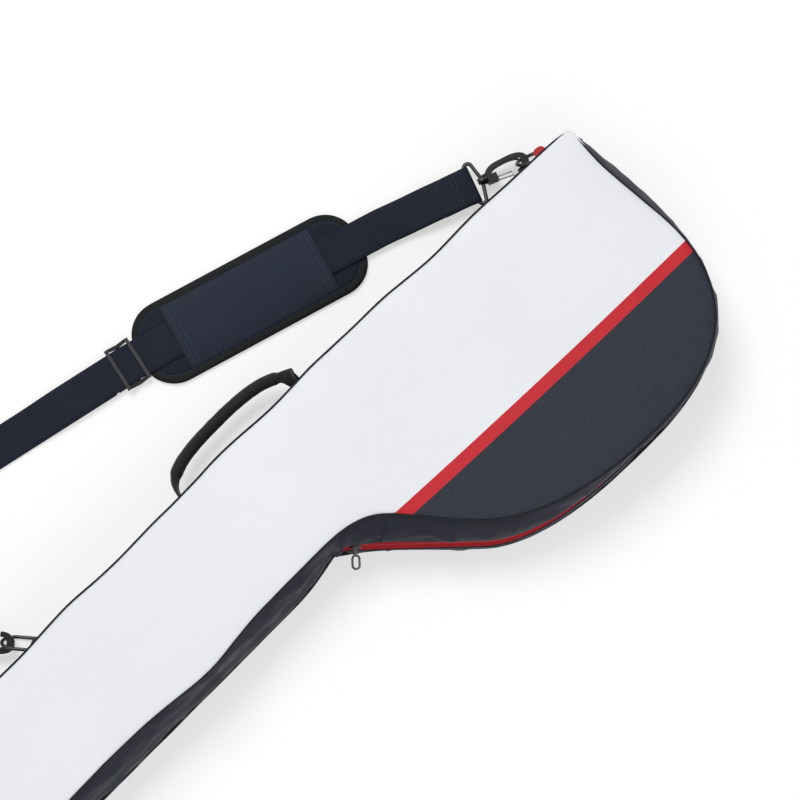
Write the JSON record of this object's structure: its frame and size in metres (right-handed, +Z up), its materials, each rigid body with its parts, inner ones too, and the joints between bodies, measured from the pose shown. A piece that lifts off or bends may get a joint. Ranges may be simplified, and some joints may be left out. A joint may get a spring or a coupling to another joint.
{
  "type": "golf club carry case",
  "caption": "Long padded fabric case with a D-shaped head, a zipped head flap, a side carry handle and a clip-on padded shoulder strap.",
  "frame": {"origin": "under the tube's centre line, half way along the case, on the surface that its back lies on", "axes": "+X from the spine towards the head's bulge, +Y along the case towards the head, +Z up through the front panel"},
  "size_m": [0.5395, 1.2796, 0.09],
  "materials": {
    "shell_white": "matt woven polyester with a slight sheen",
    "shell_charcoal": "matt woven polyester, charcoal",
    "shell_red": "matt woven polyester, red",
    "gusset": "padded black nylon",
    "piping": "folded black fabric over a cord",
    "zip_red": "red zip tape and coil",
    "zip_metal": "black enamelled zinc",
    "handle": "rolled black webbing",
    "webbing": "black polypropylene webbing",
    "strap": "navy-black polypropylene webbing",
    "pad_foam": "black air mesh over foam",
    "pad_binding": "black folded binding",
    "pad_cover": "navy woven cover",
    "gunmetal": "gunmetal plated steel wire",
    "hook_cast": "gloss black zinc casting",
    "gate_wire": "bright steel wire"
  },
  "bodies": {
    "case": {"back_panel": "gusset", "spine_gusset": "gusset", "base_gusset": "gusset", "tube_gusset": "gusset", "neck_gusset": "gusset", "head_gusset_lower": "gusset", "front_panel": "shell_white", "front_piping": "piping", "back_piping": "piping", "zip_tape_lower": "zip_red", "zip_tape_lead": "zip_red", "zip_coil_lower": "zip_red", "zip_coil_lead": "zip_red", "zip_end_tab": "zip_red", "handle_anchor_upper": "webbing", "handle_anchor_lower": "webbing", "strap_loop_upper": "gunmetal", "strap_loop_lower": "gunmetal", "ring_tab_upper": "webbing", "ring_tab_lower": "webbing", "shoulder_strap": "strap", "strap_tail": "strap", "strap_return": "strap"},
    "head_flap": {"head_gusset_upper": "gusset", "flap_panel": "shell_white", "accent_stripe": "shell_red", "accent_panel": "shell_charcoal", "flap_piping": "piping", "zip_tape_upper": "zip_red", "zip_coil_upper": "zip_red"},
    "zip_slider": {"zip_slider": "zip_metal"},
    "zip_puller": {"zip_puller": "zip_metal"},
    "carry_handle": {"handle_grip": "handle", "handle_tab_upper": "handle", "handle_tab_lower": "handle"},
    "hook_upper": {"snap_hook_upper": "hook_cast"},
    "hook_lower": {"snap_hook_lower": "hook_cast"},
    "gate_upper": {"hook_gate_upper": "gate_wire"},
    "gate_lower": {"hook_gate_lower": "gate_wire"},
    "ring_upper": {"d_ring_upper": "gunmetal"},
    "ring_lower": {"d_ring_lower": "gunmetal"},
    "shoulder_pad": {"pad_base": "pad_foam", "pad_binding": "pad_binding", "pad_sleeve": "pad_cover"},
    "strap_slide": {"strap_adjuster": "gunmetal", "strap_end": "strap"}
  },
  "joints": [
    {"name": "head_flap_hinge", "type": "hinge", "parent": "case", "child": "head_flap", "pos_m": [0.02058, 0.42643, 0.09], "axis": [0.3055, -0.9522, 0], "range_deg": [0, 110]},
    {"name": "zip_slide", "type": "slide", "parent": "case", "child": "zip_slider", "axis": [-0.6847, -0.7289, 0], "range_m": [-0.07, 0]},
    {"name": "puller_hinge", "type": "hinge", "parent": "zip_slider", "child": "zip_puller", "pos_m": [0.08523, 0.18914, 0.0455], "axis": [0, 0, 1], "range_deg": [-65, 65]},
    {"name": "handle_hinge", "type": "hinge", "parent": "case", "child": "carry_handle", "pos_m": [-0.06789, 0.1875, 0.045], "axis": [-0.0011, 1, 0], "range_deg": [0, 100]},
    {"name": "hook_upper_swivel", "type": "hinge", "parent": "case", "child": "hook_upper", "pos_m": [-0.0874, 0.53969, 0.015], "axis": [0.3551, 0.9348, 0], "range_deg": [-5, 5]},
    {"name": "hook_lower_swivel", "type": "hinge", "parent": "case", "child": "hook_lower", "pos_m": [-0.128, -0.13875, 0.015], "axis": [0.766, 0.6428, 0], "range_deg": [-5, 5]},
    {"name": "gate_upper_hinge", "type": "hinge", "parent": "hook_upper", "child": "gate_upper", "pos_m": [-0.07961, 0.54839, 0.015], "axis": [0, 0, 1], "range_deg": [0, 20], "stiffness_Nm_per_rad": 0.02, "springref_deg": -11.46},
    {"name": "gate_lower_hinge", "type": "hinge", "parent": "hook_lower", "child": "gate_lower", "pos_m": [-0.12235, -0.12853, 0.015], "axis": [0, 0, -1], "range_deg": [0, 20], "stiffness_Nm_per_rad": 0.02, "springref_deg": -11.46},
    {"name": "ring_upper_hinge", "type": "hinge", "parent": "case", "child": "ring_upper", "pos_m": [-0.0624, 0.6055, 0.015], "axis": [-0.4098, 0.1557, -0.8988], "range_deg": [-1, 3]},
    {"name": "ring_lower_hinge", "type": "hinge", "parent": "case", "child": "ring_lower", "pos_m": [-0.07407, -0.0935, 0.015], "axis": [0.2818, -0.3358, 0.8988], "range_deg": [-0.5, 3]},
    {"name": "pad_slide", "type": "slide", "parent": "case", "child": "shoulder_pad", "axis": [0.284, 0.9588, 0], "range_m": [0, 0.014]},
    {"name": "adjuster_slide", "type": "slide", "parent": "case", "child": "strap_slide", "axis": [-0.213, -0.977, 0], "range_m": [0, 0.04]}
  ]
}
